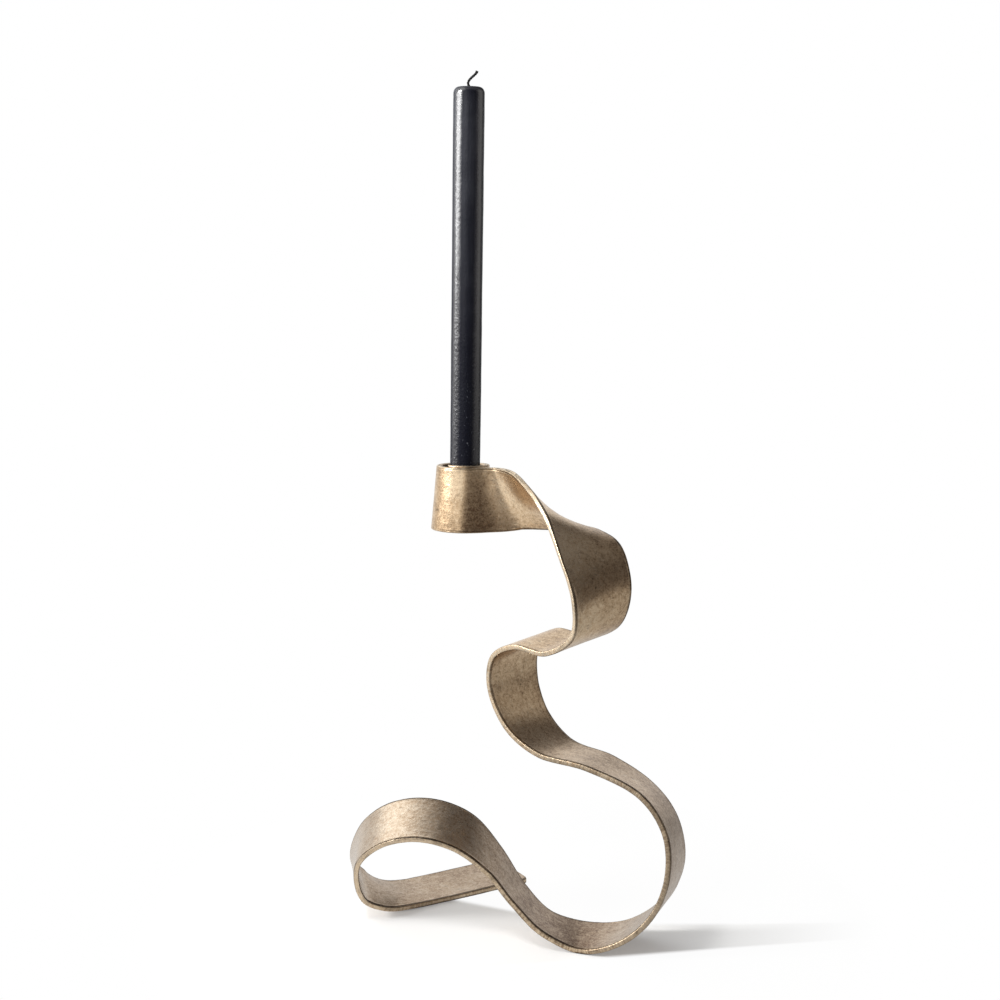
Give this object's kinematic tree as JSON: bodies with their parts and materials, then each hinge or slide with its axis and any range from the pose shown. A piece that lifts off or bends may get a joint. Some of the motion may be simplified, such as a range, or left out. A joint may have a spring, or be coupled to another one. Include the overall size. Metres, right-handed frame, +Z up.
{
  "type": "candlestick",
  "caption": "Bronze ribbon candlestick: a long flat strip that loops on the table, twists upwards and coils into a cup for a straight dark candle, which lifts out.",
  "frame": {"origin": "on the table, under the middle of the whole object's bounding box", "axes": "+Z up along the candle, -Y towards the viewer's side, +X to the viewer's right"},
  "size_m": [0.2508, 0.19, 0.6264],
  "materials": {
    "bronze": "cast bronze with a pale antique patina, edges worn bright",
    "socket_brass": "plain turned brass",
    "black_wax": "black candle wax with a soft gloss",
    "wick_cotton": "waxed black cotton braid"
  },
  "bodies": {
    "stand": {"cup_coil": "bronze", "neck_twist": "bronze", "shoulder_bend": "bronze", "waist_curve": "bronze", "hip_arc": "bronze", "base_arc": "bronze", "side_loop": "bronze", "tail_foot": "bronze", "socket_sleeve": "socket_brass", "socket_floor": "socket_brass"},
    "candle": {"candle_wax": "black_wax", "wick": "wick_cotton"}
  },
  "joints": [
    {"name": "candle_lift", "type": "slide", "parent": "stand", "child": "candle", "axis": [0.014, 0, 0.9999], "range_m": [0, 0.06]}
  ]
}
